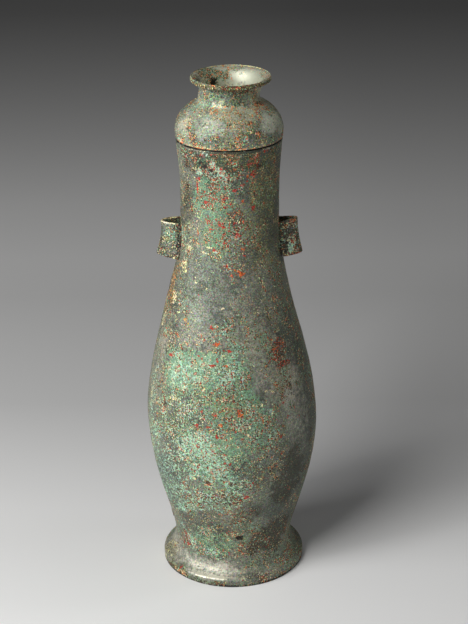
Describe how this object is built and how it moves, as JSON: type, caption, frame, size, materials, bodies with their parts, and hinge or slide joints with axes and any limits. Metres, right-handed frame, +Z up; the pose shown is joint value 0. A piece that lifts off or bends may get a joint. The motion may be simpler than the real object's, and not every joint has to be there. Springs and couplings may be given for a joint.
{
  "type": "lidded hu wine jar",
  "caption": "Tall round bronze wine jar with a swelling belly, flared ring foot, tubular side lugs and a domed lift-off lid with a flared crown.",
  "frame": {"origin": "centre of the circle on which the foot stands, at the level of the ground", "axes": "+Z up along the axis of turning, +X towards the right lug, -Y towards the viewer of the picture"},
  "size_m": [0.1664, 0.1664, 0.502],
  "materials": {
    "jar_bronze": "cast bronze, grey-olive patina speckled with green, pale mint, orange and red corrosion",
    "foot_bronze": "cast bronze, olive patina with a rubbed, smoother brim",
    "lug_bronze": "cast bronze, dark grey-olive patina with worn lighter edges",
    "lid_bronze": "cast bronze, paler grey-green patina with orange speckle",
    "spacer_bronze": "cast bronze, dark brown-grey corroded plate"
  },
  "bodies": {
    "jar": {"jar_wall": "jar_bronze", "jar_floor": "jar_bronze", "ring_foot": "foot_bronze", "right_lug": "lug_bronze", "left_lug": "lug_bronze", "wall_spacer_1": "spacer_bronze", "wall_spacer_2": "spacer_bronze", "wall_spacer_3": "spacer_bronze", "wall_spacer_4": "spacer_bronze", "floor_spacer_1": "spacer_bronze", "floor_spacer_2": "spacer_bronze", "floor_spacer_3": "spacer_bronze"},
    "lid": {"lid_dome": "lid_bronze", "lid_tenon": "lid_bronze", "lid_crown": "lid_bronze"}
  },
  "joints": [
    {"name": "lid_lift", "type": "slide", "parent": "jar", "child": "lid", "axis": [0, 0, 1], "range_m": [0, 0.12]}
  ]
}
